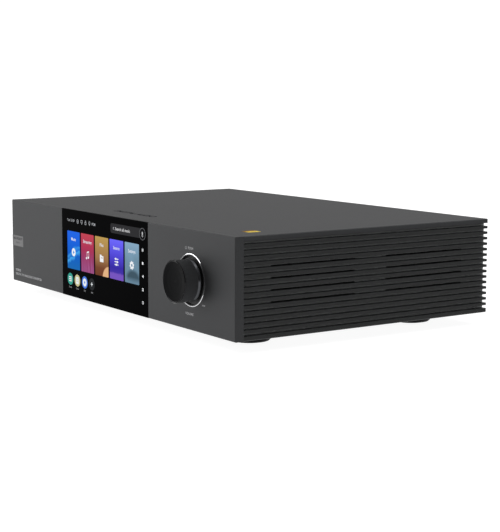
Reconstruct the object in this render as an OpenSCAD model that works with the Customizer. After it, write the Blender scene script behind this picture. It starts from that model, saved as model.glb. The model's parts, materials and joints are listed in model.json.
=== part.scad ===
// Desktop audio converter: an aluminium case on four feet, with a full-height display glass,
// a push-and-turn volume knob, finned side panels and a rear panel of audio and data sockets.
// Frame: X to the right, Y to the rear, Z up, millimetres. The feet stand on Z = 0.

/* [Case] */
// Width of the case, side to side
body_w = 388; // [380:1:400]
// Depth of the case, front face to rear face
body_d = 248; // [244:1:260]
// Height of the case without the feet
body_h = 77.5; // [77:0.5:80]
// Thickness of the front panel
front_t = 7.5; // [7:0.5:9]
// Wall of each side panel, fins included
side_t = 8; // [7.5:0.5:9]
// Thickness of the rear panel
rear_t = 3; // [2.5:0.5:3]
// Thickness of the top cover, which is also the plain strip above the fins
top_t = 3.45; // [3:0.05:4]
// Bevel along the outer edges
bevel = 0.6; // [0.3:0.1:1]

/* [Side fins] */
// Number of grooves in each side panel
groove_count = 16; // [12:1:16]
// Height of one groove
groove_w = 2.5; // [2:0.1:2.6]
// Depth of one groove
groove_depth = 4.4; // [3:0.1:5]
// Length of one ventilation slot
vent_len = 79; // [40:1:90]
// Height of one ventilation slot
vent_h = 0.8; // [0.6:0.1:1.5]

/* [Display and knob] */
// Left edge of the display glass
glass_left = -86.8; // [-90:0.1:-80]
// Right edge of the display glass
glass_right = 67.3; // [60:0.1:70]
// Thickness of the display glass
glass_t = 1.9; // [1.5:0.1:2.2]
// Distance of the knob from the centre line
knob_x = 132.3; // [125:0.1:140]
// Radius of the knob
knob_r = 16.7; // [14:0.1:18]
// How far the knob stands out of the front panel
knob_out = 15; // [12:0.5:18]
// How far the knob travels when it is pushed
push_travel = 0.8; // [0.4:0.1:0.8]

/* [Feet] */
// Height of the gap under the case
foot_h = 10; // [9:0.5:12]
// Radius of a foot
foot_r = 17.5; // [15:0.5:20]
// Distance of a foot's centre from the side of the case
foot_inset_x = 48; // [40:1:55]
// Distance of a front foot's centre from the front face
foot_inset_front = 44.5; // [40:0.5:50]
// Distance of a rear foot's centre from the rear face
foot_inset_rear = 41; // [38:0.5:50]

/* [Hidden] */
$fn = 64;

eps = 0.5;                 // overshoot of a cutting shape
gap = 0.1;                 // assembly gap between plates
jack_out = 11;             // the rearmost piece, an antenna jack, beyond the rear face
half_w = body_w / 2;
y_front = knob_out - (body_d + knob_out + jack_out) / 2;
y_back = y_front + front_t;
y_rear = y_front + body_d;
y_rear_in = y_rear - rear_t;
z_bot = foot_h;
z_top = z_bot + body_h;
z_mid = z_bot + body_h / 2;
z_cover = z_top - top_t;   // underside of the top cover
groove_pitch = (body_h - 2 * top_t - groove_w) / (groove_count - 1);
plate_z = z_bot + 0.5;     // underside of the bottom plate
floor_z = z_bot + 2.5;     // top of the bottom plate
inner_x = half_w - side_t; // inner face of a side wall
rail_w = 9;                // screw rails along the top and bottom of each side wall
rail_h = 8;
vent_starts = [34.7, 144.4]; // front ends of the two groups of slots, from the front face
vent_top_row = groove_count - 5;
vent_rows = 4;
board_z = floor_z + 8;     // underside of the circuit boards
board_t = 1.6;
board_top = board_z + board_t;
upper_board_z = 50;        // underside of the interface board

screw_r = 1.45;            // M3 thread
screw_hole_r = 1.5;
screw_head_r = 2.7;
rail_screw_x = inner_x - rail_w / 2;
bottom_screw_y = [-96, -40, 30, 98];
rear_screw_z = [floor_z + rail_h / 2, z_cover - rail_h / 2];
cover_screw_x = [-110, 20, 118];
cover_bar_h = 7;           // bar under the rear edge of the cover that takes its screws
cover_bar_d = 8;
tongue_d = 1.4;            // tongue of the cover that hooks into the front panel
tongue_z = z_cover + 0.9;
tongue_h = 1.3;

window = [138, 70];        // opening for the display behind the glass
window_x = (glass_left + glass_right) / 2;
display_gap = 0.3;         // gap between the display and its opening
cell_t = 1.6;              // thickness of the lit cell, in front of its tray
badge = [24, 10.1, 0.8];

well_r = 20.5;             // round recess that the knob turns in
well_depth = 3;
ring_w = 1.1;              // width of the ring's slope
ring_rise = 0.25;          // how far the slope rises from the front panel towards the recess
bush_r = 4.5;
shaft_r = 3;
shaft_gap = 0.05;          // running clearance of the shaft and plunger
knob_lift = 0.6;           // gap between the knob and the front face
knob_dish = 1.1;           // depth of the dish in the knob's face
knob_edge = 0.5;           // bevels of the knob's front and rear rims
knob_rim = 1.1;            // width of each rim along the axis
knob_waist = 0.4;          // how far the body lies inside the rims
knob_flare = 1.4;          // length of the slope between the body and the rear rim
knob_wall = 3;             // wall of the knob around its hub
hub_r = 6;                 // hub inside the knob
set_screw_y = -6.5;        // knob's set screw, in front of the front face
shaft_flat = 2.4;          // distance of the shaft's flat from its axis
shaft_end = 12;            // rear end of the shaft, behind the front face
encoder_bore = 15;         // depth of the encoder's bore, which the push rod works in

foot_y_front = y_front + foot_inset_front;
foot_y_rear = y_rear - foot_inset_rear;
foot_x = half_w - foot_inset_x;
pad_r = 14;
foot_places = [for (y = [foot_y_front, foot_y_rear], sx = [-1, 1]) [sx * foot_x, y]];

bay = [-20, 60, -70, -38]; // storage opening in the bottom plate: x from, x to, y from, y to

// Outer sizes of the rear sockets' shells, [across, up]
inlet_size = [27, 49];
lan_size = [16, 13.4];
usb_a_size = [14.6, 15.6];
usb_b_size = [12, 11];
hdmi_size = [15, 6.2];
optical_size = [10.4, 10.8];
xlr_well_r = 9.6;
rca_hole_r = 4.5;

// Centres of the rear sockets, [x, z]
inlet_at = [-152, z_mid];
xlr_out_x = [134, 165];
xlr_in_x = [56, 87];
xlr_z = z_mid;
rca_low_z = 31;
rca_high_z = 61;
rca_at = [[-19, 30], [-3, 30], [32, rca_low_z], [32, rca_high_z], [110.5, rca_low_z], [110.5, rca_high_z]];
lan_at = [-80, board_top + 6.8];
usb_a_at = [-58, board_top + 7.85];
usb_b_at = [-38, board_top + 5.55];
upper_top = upper_board_z + board_t;
hdmi_at = [[-82, upper_top + 3.15], [-62, upper_top + 3.15]];
optical_at = [[-43, upper_top + 5.45], [-29, upper_top + 5.45]];
trigger_at = [[-13, upper_top + 4.05], [1, upper_top + 4.05]];
antenna_at = [[-100, 70], [14, 72]];

main_box = [-90, 22, -52, 121];      // main board: x from, x to, y from, y to
analog_box = [28, 175, 0, 98];
power_box = [-172, -98, -106, -34];
upper_box = [-92, 10, 88, 121];
transformer_at = [-134.5, 26];
transformer_r = 37;
transformer_h = 40;
transformer_hole_r = 12;

rocker_tilt = 8;                     // the rocker lies this far to either side
rocker_pivot_y = -2.5;
rocker_z = 15.2;
inlet_z = -14.5;
drawer_z = 1.2;
latch_z = 12.6;                      // height of a latch tab above its socket's centre
flange_t = 2;                        // flange of a three-pin socket
flange_screw = [9.6, 12];            // its two screws, from the socket's centre
xlr_x = concat(xlr_out_x, xlr_in_x);
flange_screws = [for (x = xlr_x, s = [-1, 1]) [x + s * flange_screw[0], xlr_z + s * flange_screw[1]]];
shutter_pivot = [-3.6, 3.7];         // y and z of a shutter's hinge, from its socket's centre

// ---------- shared shapes ----------

// A box between two corners
module block(lo, hi) {
    translate(lo) cube(hi - lo);
}

// A rod along Y
module rod(r, y0, y1) {
    translate([0, y0, 0]) rotate([-90, 0, 0]) cylinder(r = r, h = y1 - y0);
}

// A 2D shape, drawn in X and Z, carried along Y
module along_y(y0, y1) {
    translate([0, y1, 0]) rotate([90, 0, 0]) linear_extrude(y1 - y0) children();
}

// A 2D shape, drawn in Y and Z, carried along X
module along_x(x0, x1) {
    translate([x0, 0, 0]) rotate([90, 0, 90]) linear_extrude(x1 - x0) children();
}

module rounded_rect(w, h, r) {
    square([w - 2 * r, h], center = true);
    square([w, h - 2 * r], center = true);
    for (sx = [-1, 1], sz = [-1, 1]) translate([sx * (w / 2 - r), sz * (h / 2 - r)]) circle(r);
}

// Places a socket drawn with +Y pointing out of the rear panel
module at_rear(place) {
    translate([place[0], y_rear, place[1]]) children();
}

module at_knob() {
    translate([knob_x, y_front, z_mid]) children();
}

// A screw with a hexagon socket, whose head stands on z = 0 and whose thread points down
module screw(length, head_r = screw_head_r, head_h = 1.8) difference() {
    union() {
        cylinder(r = head_r, h = head_h, $fn = 32);
        translate([0, 0, -length]) cylinder(r = screw_r, h = length, $fn = 32);
    }
    translate([0, 0, head_h - 1.2]) cylinder(r = 1.15, h = 1.2 + eps, $fn = 6);
}

module board(limits, z, holes) {
    difference() {
        block([limits[0], limits[2], z], [limits[1], limits[3], z + board_t]);
        for (p = holes) translate([p[0], p[1], z - eps])
            cylinder(r = screw_hole_r, h = board_t + 2 * eps, $fn = 24);
    }
}

// The four screw holes of a board, set in from its edges
function board_holes(limits, inset_y = board_inset) = [
    for (x = [limits[0] + board_inset, limits[1] - board_inset])
        for (y = [limits[2] + inset_y, limits[3] - inset_y]) [x, y]
];
board_inset = 5;
main_inset_y = 20;
main_holes = board_holes(main_box, main_inset_y);
analog_holes = board_holes(analog_box);
power_holes = board_holes(power_box);
upper_holes = [for (x = [upper_box[0] + board_inset, upper_box[1] - board_inset])
    [x, upper_box[2] + board_inset]];

// ---------- case ----------

module front_panel() color("#55565a") difference() {
    intersection() {
        translate([0, 0, z_bot]) linear_extrude(body_h) polygon([
            [-half_w, y_back], [-half_w, y_front + bevel], [-half_w + bevel, y_front],
            [half_w - bevel, y_front], [half_w, y_front + bevel], [half_w, y_back]
        ]);
        along_x(-half_w, half_w) polygon([
            [y_back, z_bot], [y_back, z_top], [y_front + bevel, z_top],
            [y_front, z_top - bevel], [y_front, z_bot + bevel], [y_front + bevel, z_bot]
        ]);
    }
    block([glass_left, y_front - eps, z_bot - eps], [glass_right, y_front + glass_t + gap, z_top + eps]);
    block([window_x - window[0] / 2, y_front, z_mid - window[1] / 2],
          [window_x + window[0] / 2, y_back + eps, z_mid + window[1] / 2]);
    block([-half_w - eps, y_front - eps, z_mid - badge[1] / 2],
          [-half_w + badge[0], y_front + badge[2], z_mid + badge[1] / 2]);
    at_knob() rod(well_r, -eps, well_depth);
    at_knob() rod(bush_r + gap, 0, front_t + eps);
    block([-inner_x, y_back - tongue_d - gap, tongue_z - gap],
          [inner_x, y_back + eps, tongue_z + tongue_h + gap]);
}

module cover_glass() color("#08080a")
    block([glass_left + gap, y_front, z_bot], [glass_right - gap, y_front + glass_t, z_top]);

// Liquid-crystal panel: a lit cell in front of its backlight tray
module display_module() color("#1b1d22") {
    w = window[0] / 2 - display_gap;
    h = window[1] / 2 - display_gap;
    y0 = y_front + glass_t + gap;
    block([window_x - w, y0, z_mid - h], [window_x + w, y0 + cell_t, z_mid + h]);
    difference() {
        block([window_x - w, y0 + cell_t, z_mid - h], [window_x + w, y_back, z_mid + h]);
        for (sx = [-1, 1]) block([window_x + sx * 40 - 20, y_back - 1, z_mid - 20],
                                 [window_x + sx * 40 + 20, y_back + eps, z_mid + 20]);
    }
}

module display_bracket() color("#a8abae") difference() {
    block([window_x - 78, y_back + gap, z_mid - 34], [window_x + 78, y_back + 1.3, z_mid + 34]);
    for (sx = [-1, 1], sz = [-1, 1]) translate([window_x + sx * 74, 0, z_mid + sz * 30])
        rod(screw_hole_r, y_back - eps, y_back + 2);
}

module badge_plate() color("#8d8e91")
    block([-half_w, y_front, z_mid - badge[1] / 2 + gap],
          [-half_w + badge[0] - gap, y_front + badge[2], z_mid + badge[1] / 2 - gap]);

module top_cover() color("#5a5b5f") {
    difference() {
        along_y(y_back + gap, y_rear) polygon([
            [-half_w, z_cover], [-half_w, z_top - bevel], [-half_w + bevel, z_top],
            [half_w - bevel, z_top], [half_w, z_top - bevel], [half_w, z_cover]
        ]);
        for (x = cover_screw_x) translate([x, 0, z_cover - cover_bar_h / 2])
            rod(screw_hole_r, y_rear_in - cover_bar_d - eps, y_rear_in + eps);
    }
    block([-inner_x + gap, y_back - tongue_d, tongue_z], [inner_x - gap, y_back + gap, tongue_z + tongue_h]);
    difference() {
        block([-inner_x + rail_w + 2, y_rear_in - cover_bar_d, z_cover - cover_bar_h],
              [inner_x - rail_w - 2, y_rear_in - gap, z_cover]);
        for (x = cover_screw_x) translate([x, 0, z_cover - cover_bar_h / 2])
            rod(screw_hole_r, y_rear_in - cover_bar_d - eps, y_rear_in + eps);
    }
}

function groove_z(i) = z_bot + top_t + groove_w / 2 + groove_pitch * i;

// Cross-section of the right side panel, in X and Z, with its grooves and screw rails
function side_outline() = concat(
    [[inner_x, z_bot], [half_w - bevel, z_bot], [half_w, z_bot + bevel]],
    [for (i = [0 : groove_count - 2], corner = [0 : 3]) [
        corner == 0 || corner == 3 ? half_w : half_w - groove_depth,
        groove_z(i) + (corner < 2 ? -1 : 1) * groove_w / 2
    ]],
    [
        [half_w, groove_z(groove_count - 1) - groove_w / 2],
        [half_w - groove_depth, groove_z(groove_count - 1) - groove_w / 2],
        [half_w - groove_depth, z_cover],
        [inner_x - rail_w, z_cover], [inner_x - rail_w, z_cover - rail_h], [inner_x, z_cover - rail_h],
        [inner_x, floor_z + rail_h], [inner_x - rail_w, floor_z + rail_h], [inner_x - rail_w, floor_z],
        [inner_x, floor_z]
    ]
);

module side_panel() difference() {
    along_y(y_back, y_rear) polygon(side_outline());
    block([inner_x - rail_w - eps, y_rear_in, z_bot - eps], [inner_x, y_rear + eps, z_top]);
    for (start = vent_starts, row = [0 : vent_rows - 1]) {
        z = groove_z(vent_top_row - 2 * row) - groove_w / 2;
        block([inner_x - eps, y_front + start, z],
              [half_w - groove_depth + eps, y_front + start + vent_len, z + vent_h]);
    }
    for (y = bottom_screw_y) translate([rail_screw_x, y, floor_z - eps])
        cylinder(r = screw_hole_r, h = rail_h - 1, $fn = 32);
    for (z = rear_screw_z) translate([rail_screw_x, 0, z])
        rod(screw_hole_r, y_rear_in - 10, y_rear_in + eps);
}

module side_panel_left() color("#303132") mirror([1, 0, 0]) side_panel();

module side_panel_right() color("#303132") side_panel();

module bottom_plate() color("#3a3b3d") difference() {
    block([-inner_x + gap, y_back, plate_z], [inner_x - gap, y_rear_in, floor_z]);
    block([bay[0], bay[2], plate_z - eps], [bay[1], bay[3], floor_z + eps]);
    for (sx = [-1, 1], i = [0 : 7]) block([sx * 108 - 25, -32 + 7 * i, plate_z - eps],
                                         [sx * 108 + 25, -29 + 7 * i, floor_z + eps]);
    for (sx = [-1, 1], y = bottom_screw_y) translate([sx * rail_screw_x, y, plate_z - eps])
        cylinder(r = screw_hole_r + 0.1, h = 4, $fn = 32);
    for (p = foot_places) translate([p[0], p[1], plate_z - eps]) cylinder(r = 2.1, h = 4, $fn = 32);
    for (x = [bay[0] - 4, bay[1] + 4]) translate([x, (bay[2] + bay[3]) / 2, plate_z - eps])
        cylinder(r = screw_hole_r, h = 4, $fn = 32);
}

// Cut-out of the rear panel for a socket's shell
module panel_hole(place, size) at_rear(place) along_y(-rear_t - eps, eps)
    square([size[0] + 2 * gap, size[1] + 2 * gap], center = true);

module rear_panel() color("#3c3d3f") difference() {
    block([-inner_x + gap, y_rear_in, z_bot], [inner_x - gap, y_rear, z_cover]);
    panel_hole(inlet_at, inlet_size);
    for (x = xlr_x) at_rear([x, xlr_z]) rod(12, -rear_t - eps, eps);
    for (x = xlr_in_x) at_rear([x, xlr_z]) block([-4.3, -rear_t - eps, 9], [4.3, eps, 14.6]);
    for (p = flange_screws) at_rear(p) rod(screw_hole_r, -rear_t - eps, eps);
    for (p = rca_at) at_rear(p) rod(rca_hole_r, -rear_t - eps, eps);
    panel_hole(lan_at, lan_size);
    panel_hole(usb_a_at, usb_a_size);
    panel_hole(usb_b_at, usb_b_size);
    for (p = hdmi_at) panel_hole(p, hdmi_size);
    for (p = optical_at) panel_hole(p, optical_size);
    for (p = trigger_at) at_rear(p) rod(3.1, -rear_t - eps, eps);
    for (p = antenna_at) at_rear(p) rod(3.25, -rear_t - eps, eps);
    for (sx = [-1, 1], z = rear_screw_z) translate([sx * rail_screw_x, y_rear, z])
        rod(screw_hole_r + 0.1, -rear_t - eps, eps);
    for (x = cover_screw_x) translate([x, y_rear, z_cover - cover_bar_h / 2])
        rod(screw_hole_r + 0.1, -rear_t - eps, eps);
}

module storage_cover() color("#3a3b3d") difference() {
    block([bay[0] - 8, bay[2] - 3, plate_z - 1.2], [bay[1] + 8, bay[3] + 3, plate_z]);
    for (x = [bay[0] - 4, bay[1] + 4]) translate([x, (bay[2] + bay[3]) / 2, plate_z - 2])
        cylinder(r = screw_hole_r + 0.1, h = 4, $fn = 32);
}

module case_screws() color("#242527") {
    for (sx = [-1, 1], y = bottom_screw_y) translate([sx * rail_screw_x, y, plate_z])
        mirror([0, 0, 1]) screw(7, 2.7, 0.9);
    for (x = [bay[0] - 4, bay[1] + 4]) translate([x, (bay[2] + bay[3]) / 2, plate_z - 1.2])
        mirror([0, 0, 1]) screw(3, 2.4, 1);
    for (sx = [-1, 1], z = rear_screw_z) translate([sx * rail_screw_x, y_rear, z])
        rotate([-90, 0, 0]) screw(11);
    for (x = cover_screw_x) translate([x, y_rear, z_cover - cover_bar_h / 2])
        rotate([-90, 0, 0]) screw(9);
    for (p = flange_screws) at_rear(p) translate([0, flange_t, 0]) rotate([-90, 0, 0]) screw(7, 2.6, 1.2);
}

// ---------- feet ----------

module foot(place) color("#232425") translate([place[0], place[1], 0]) difference() {
    rotate_extrude() polygon([
        [0, 0.6], [foot_r - 1.6, 0.6], [foot_r - 0.4, 1.8], [foot_r, 3], [foot_r, plate_z], [0, plate_z]
    ]);
    translate([0, 0, -eps]) cylinder(r = pad_r + 0.1, h = 2.6 + eps);
    translate([0, 0, 2]) cylinder(r = 4.5, h = 3.5, $fn = 32);
    translate([0, 0, 2]) cylinder(r = 2.1, h = plate_z, $fn = 32);
}

module foot_front_left() foot(foot_places[0]);

module foot_front_right() foot(foot_places[1]);

module foot_rear_left() foot(foot_places[2]);

module foot_rear_right() foot(foot_places[3]);

module foot_pads() color("#161617") for (p = foot_places) translate([p[0], p[1], 0])
    rotate_extrude() polygon([[0, 0], [pad_r - 0.8, 0], [pad_r, 0.8], [pad_r, 2.6], [0, 2.6]]);

module foot_screws() color("#9a9c9f") for (p = foot_places) translate([p[0], p[1], 0]) {
    translate([0, 0, 3]) cylinder(r = 3.8, h = 2.5, $fn = 32);
    translate([0, 0, 5.5]) cylinder(r = 2, h = floor_z + 2 - 5.5, $fn = 32);
    translate([0, 0, floor_z]) difference() {
        cylinder(r = 4, h = 2.4, $fn = 6);
        translate([0, 0, -eps]) cylinder(r = 2.02, h = 4, $fn = 32);
    }
}

// ---------- knob and encoder ----------

// Thin ring around the knob's recess, with a polished slope that rises towards the knob
module knob_ring() color("#e8e9ea") at_knob() rotate([-90, 0, 0]) rotate_extrude($fn = 96) polygon([
    [well_r - ring_w, -gap - ring_rise], [well_r - gap / 2, -gap], [well_r - gap / 2, well_depth],
    [well_r - ring_w, well_depth]
]);

module knob_well() color("#0c0c0d") at_knob() difference() {
    rod(well_r - ring_w - gap, well_depth - 0.8, well_depth);
    rod(bush_r + gap, 0, well_depth + eps);
}

// Half of the knob's outline, as radius and distance along the axis, from the dish to the hub
knob_front = -knob_out;
knob_rear = -knob_lift;
knob_outline = [
    [0, knob_front + knob_dish], [6, knob_front + knob_dish - 0.1], [11, knob_front + knob_dish - 0.4],
    [knob_r - 1.2, knob_front + 0.15], [knob_r - 0.9, knob_front], [knob_r - knob_edge, knob_front],
    [knob_r, knob_front + knob_edge], [knob_r, knob_front + knob_rim],
    [knob_r - knob_waist, knob_front + knob_rim + knob_waist],
    [knob_r - knob_waist, knob_rear - knob_rim - knob_flare], [knob_r + 0.2, knob_rear - knob_rim],
    [knob_r + 0.2, knob_rear - knob_edge], [knob_r + 0.2 - knob_edge, knob_rear],
    [knob_r - knob_wall, knob_rear], [knob_r - knob_wall, knob_rear - 3.4],
    [hub_r, knob_rear - 3.4], [hub_r, knob_rear - 1], [0, knob_rear - 1]
];

// Turned knob with a dished face, a hub for the shaft and a hole for its set screw
module volume_knob() color("#17181a") at_knob() difference() {
    rotate([-90, 0, 0]) rotate_extrude($fn = 96) polygon(knob_outline);
    rod(shaft_r, -10, 0);
    translate([0, set_screw_y, -knob_r - 1]) cylinder(r = screw_r, h = knob_r + 1, $fn = 32);
}

module knob_screw() color("#6b6d70") at_knob() translate([0, set_screw_y, -shaft_flat - 6]) difference() {
    cylinder(r = screw_r, h = 6, $fn = 32);
    translate([0, 0, -eps]) cylinder(r = 0.87, h = 2.5 + eps, $fn = 6);
}

module encoder_shaft() color("#b9bbbe") at_knob() difference() {
    rod(shaft_r, -9.8, shaft_end);
    block([-shaft_r, -10.5, -shaft_r - 1], [shaft_r, -2.5, -shaft_flat]);
}

// Push rod behind the shaft that works the switch
module encoder_plunger() color("#e4e2d8") at_knob() difference() {
    rod(shaft_r - gap, shaft_end + shaft_gap, encoder_bore - gap - push_travel);
    rod(1, shaft_end + 1.2, encoder_bore);
}

module encoder_housing() color("#8f9296") at_knob() difference() {
    union() {
        rod(bush_r, 0.8, front_t);
        along_y(front_t, encoder_bore + 0.6) rounded_rect(14, 14, 1);
        for (x = [-2.5, 0, 2.5]) block([x - 0.4, 11, -11], [x + 0.4, 11.6, -7]);
    }
    rod(shaft_r + shaft_gap, 0, encoder_bore);
}

module encoder_nut() color("#b0b2b5") at_knob() difference() {
    translate([0, 1, 0]) rotate([-90, 0, 0]) cylinder(r = 6.35, h = well_depth - 0.8 - 1, $fn = 6);
    rod(bush_r + 0.02, 0, well_depth);
}

// ---------- circuit boards and power ----------

// Flat cable from the display down to the main board
module display_ribbon() color("#c9a13a") along_x(window_x + 55, window_x + 75) polygon([
    [y_back + 1.4, 56], [y_back + 1.7, 56], [y_back + 1.7, 31], [main_box[2] + 6, board_top + 3.3],
    [main_box[2] + 6, board_top + 3], [y_back + 1.4, 30.7]
]);

module main_board() color("#1f5c3a") board(main_box, board_z, main_holes);

module main_board_chips() color("#202124") {
    for (i = [0 : 1], j = [0 : 2]) block([-70 + 26 * i, -4 + 20 * j, board_top],
                                        [-54 + 26 * i, 9 + 20 * j, board_top + 1.4]);
    for (i = [0 : 4]) block([-6 + 0.5, 4 + 14 * i, board_top], [3, 12 + 14 * i, board_top + 1.2]);
    block([window_x + 53, main_box[2] + 5, board_top], [window_x + 77, main_box[2] + 10, board_top + 2.9]);
    block([-84, 66, board_top], [-60, 90, board_top + 2.4]);
}

module processor_heatsink() color("#2a2b2d") {
    block([-60, -44, board_top + 0.1], [-24, -12, board_top + 3]);
    for (i = [0 : 8]) block([-60 + 4.2 * i, -44, board_top + 3], [-58.6 + 4.2 * i, -12, board_top + 13]);
}

module interface_board() color("#1f5c3a") board(upper_box, upper_board_z, upper_holes);

module analog_board() color("#17402c") board(analog_box, board_z, analog_holes);

module analog_relays() color("#d8d9d6")
    for (i = [0 : 3], j = [0 : 1]) translate([72 + 26 * i, 62 + 16 * j, board_top]) cube([20, 10, 9]);

module dac_shield() color("#c2c4c7") difference() {
    block([84, 8, board_top], [138, 48, board_top + 9]);
    block([84.6, 8.6, board_top - eps], [137.4, 47.4, board_top + 8.4]);
}

module capacitor(r, h) {
    cylinder(r = r, h = h, $fn = 40);
}

module capacitors() color("#2c2f52") {
    for (i = [0 : 3], sx = [0 : 1]) translate([40 + 13 * sx, 14 + 15 * i, board_top]) capacitor(5, 22);
    for (i = [0 : 2]) translate([148 + 9 * i, 30, board_top]) capacitor(4, 14);
    for (i = [0 : 3]) translate([-163 + 17.5 * i, -88, board_top]) capacitor(7.5, 32);
    for (i = [0 : 1]) translate([-128 + 18 * i, -46, board_top]) capacitor(6, 25);
}

module power_board() color("#1f5c3a") {
    board(power_box, board_z, power_holes);
    for (i = [0 : 1]) block([-158 + 15 * i, -72, board_top], [-148 + 15 * i, -56, board_top + 14]);
}

// Half of the winding's cross-section, from its middle height up, as radius and height
winding_top = [
    [transformer_r, transformer_h / 2 - 5], [transformer_r - 1.5, transformer_h / 2 - 1.5],
    [transformer_r - 5, transformer_h / 2], [transformer_hole_r + 3, transformer_h / 2],
    [transformer_hole_r + 1, transformer_h / 2 - 2], [transformer_hole_r, transformer_h / 2 - 5]
];

module transformer() color("#b5651d")
    translate([transformer_at[0], transformer_at[1], floor_z + 1 + transformer_h / 2]) rotate_extrude()
        polygon(concat(winding_top, [for (i = [5 : -1 : 0]) [winding_top[i][0], -winding_top[i][1]]]));

// Pads, dished washer and bolt that hold the transformer down
module transformer_clamp() color("#6d7073") translate([transformer_at[0], transformer_at[1], floor_z]) {
    cylinder(r = 28, h = 1);
    translate([0, 0, 1]) cylinder(r = 3, h = transformer_h);
    translate([0, 0, 1 + transformer_h]) cylinder(r = 25, h = 1.4);
    translate([0, 0, 2.4 + transformer_h]) cylinder(r = 6, h = 4, $fn = 6);
}

module divider_wall() color("#9b9ea1") {
    block([-94.6, y_back + 4, floor_z], [-93.4, 84, 78]);
    block([-93.4, y_back + 4, floor_z], [-88.5, 84, floor_z + 1]);
}

// A hexagonal pillar with its screw, from z0 up through a board
module standoff(place, z0, z1) translate([place[0], place[1], 0]) {
    translate([0, 0, z0]) cylinder(r = 3, h = z1 - z0, $fn = 6);
    translate([0, 0, z1]) cylinder(r = screw_r, h = board_t, $fn = 24);
    translate([0, 0, z1 + board_t]) cylinder(r = screw_head_r, h = 1.6, $fn = 24);
}

module board_standoffs() color("#c8b06a") {
    for (p = concat(main_holes, analog_holes, power_holes)) standoff(p, floor_z, board_z);
    for (p = upper_holes) standoff(p, board_top, upper_board_z);
}

// ---------- mains inlet, fuse drawer and switch ----------

// Outline of the appliance inlet's recess, with its two cut corners
module inlet_outline(w, h, cut) {
    polygon([
        [-w / 2, -h / 2], [w / 2, -h / 2], [w / 2, h / 2 - cut], [w / 2 - cut, h / 2],
        [-w / 2 + cut, h / 2], [-w / 2, h / 2 - cut]
    ]);
}

blade_places = [[-7, -2], [0, 2], [7, -2]];

module inlet_module() color("#111213") at_rear(inlet_at) difference() {
    union() {
        along_y(0, 2.5) rounded_rect(31, 56, 3);
        along_y(-30, 0) square(inlet_size, center = true);
    }
    translate([0, 0, inlet_z]) along_y(-16, 2.5 + eps) inlet_outline(24.2, 16.4, 4);
    for (p = blade_places) translate([p[0], 0, inlet_z + p[1]]) block([-1.05, -31, -2.05], [1.05, 0, 2.05]);
    translate([0, 0, drawer_z]) {
        block([-9.3, 0.5, -4.7], [9.3, 3, 4.7]);
        block([-6.3, -23, -4.1], [6.3, 1, 4.1]);
    }
    translate([0, 0, rocker_z]) {
        block([-11, -9, -6.4], [11, 3, 6.4]);
        translate([0, rocker_pivot_y, -7.4]) cylinder(r = 1.55, h = 14.8, $fn = 32);
    }
}

module inlet_blades() color("#c9cacc") at_rear(inlet_at)
    for (p = blade_places) translate([p[0], 0, inlet_z + p[1]]) block([-1, -36, -2], [1, -1.5, 2]);

// Rocker cap, drawn level and then laid over to its off side
module power_rocker() color("#1a1a1b") at_rear(inlet_at) translate([0, rocker_pivot_y, rocker_z])
    rotate([0, 0, -rocker_tilt]) {
        translate([0, 0, -6.1]) linear_extrude(12.2) polygon([
            [-9.9, 5], [-9, 5.4], [-4, 4.3], [0, 3.9], [4, 4.3], [9, 5.4], [9.9, 5], [9.6, 1], [5, -1.9],
            [-5, -1.9], [-9.6, 1]
        ]);
        translate([0, 0, -7.1]) cylinder(r = 1.5, h = 14.2, $fn = 32);
    }

module fuse_drawer() color("#161718") at_rear(inlet_at) translate([0, 0, drawer_z]) difference() {
    union() {
        block([-9.1, 0.6, -4.5], [9.1, 2.6, 4.5]);
        block([-6, -22, -3.9], [6, 0.6, 3.9]);
    }
    block([-2.8, -21.2, -2.8], [2.8, -0.8, 5]);
    block([-4, 2, 2.4], [4, 3, 3.6]);
}

module fuse_cartridge() color("#d5d2c4") at_rear(inlet_at) translate([0, 0, drawer_z]) {
    rod(2.4, -16, -6);
    rod(2.6, -21, -16);
    rod(2.6, -6, -1);
}

// ---------- audio sockets ----------

pin_places = [for (a = [35, 145, 270]) [4.6 * cos(a), 4.6 * sin(a)]];

module xlr_flange() {
    along_y(0, flange_t) rounded_rect(26, 31, 2.5);
    rod(11.8, -20, 0);
}

module flange_holes() {
    for (s = [-1, 1]) translate([s * flange_screw[0], 0, s * flange_screw[1]]) rod(screw_hole_r, -eps, 3);
}

module xlr_output() difference() {
    xlr_flange();
    rod(xlr_well_r, -15, 3);
    flange_holes();
    for (p = pin_places) translate([p[0], 0, p[1]]) rod(1.22, -21, -14);
}

module xlr_outputs() color("#1d1e20") for (x = xlr_out_x) at_rear([x, xlr_z]) xlr_output();

module xlr_input() difference() {
    xlr_flange();
    difference() {
        rod(xlr_well_r, -12, 3);
        rod(7.9, -13, 1);
    }
    for (p = pin_places) translate([p[0], 0, p[1]]) rod(1.35, -12, 3);
    flange_holes();
    block([-4, -11, latch_z - 1.8], [4, 3, latch_z + 1.8]);
}

module xlr_inputs() color("#1d1e20") for (x = xlr_in_x) at_rear([x, xlr_z]) xlr_input();

module xlr_pins() color("#d9b65a")
    for (x = xlr_out_x, p = pin_places) at_rear([x, xlr_z]) translate([p[0], 0, p[1]]) rod(1.2, -22, -1);

// Push tab that releases a plug from an input
module xlr_latch(x) color("#2b2c2e") at_rear([x, xlr_z]) difference() {
    block([-3.8, -8.5, latch_z - 1.6], [3.8, 3.4, latch_z + 1.6]);
    for (i = [-1 : 1]) block([-2.6, 3.1, latch_z - 0.25 + i], [2.6, 3.8, latch_z + 0.25 + i]);
}

module xlr_latch_left() xlr_latch(xlr_in_x[0]);

module xlr_latch_right() xlr_latch(xlr_in_x[1]);

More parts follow.
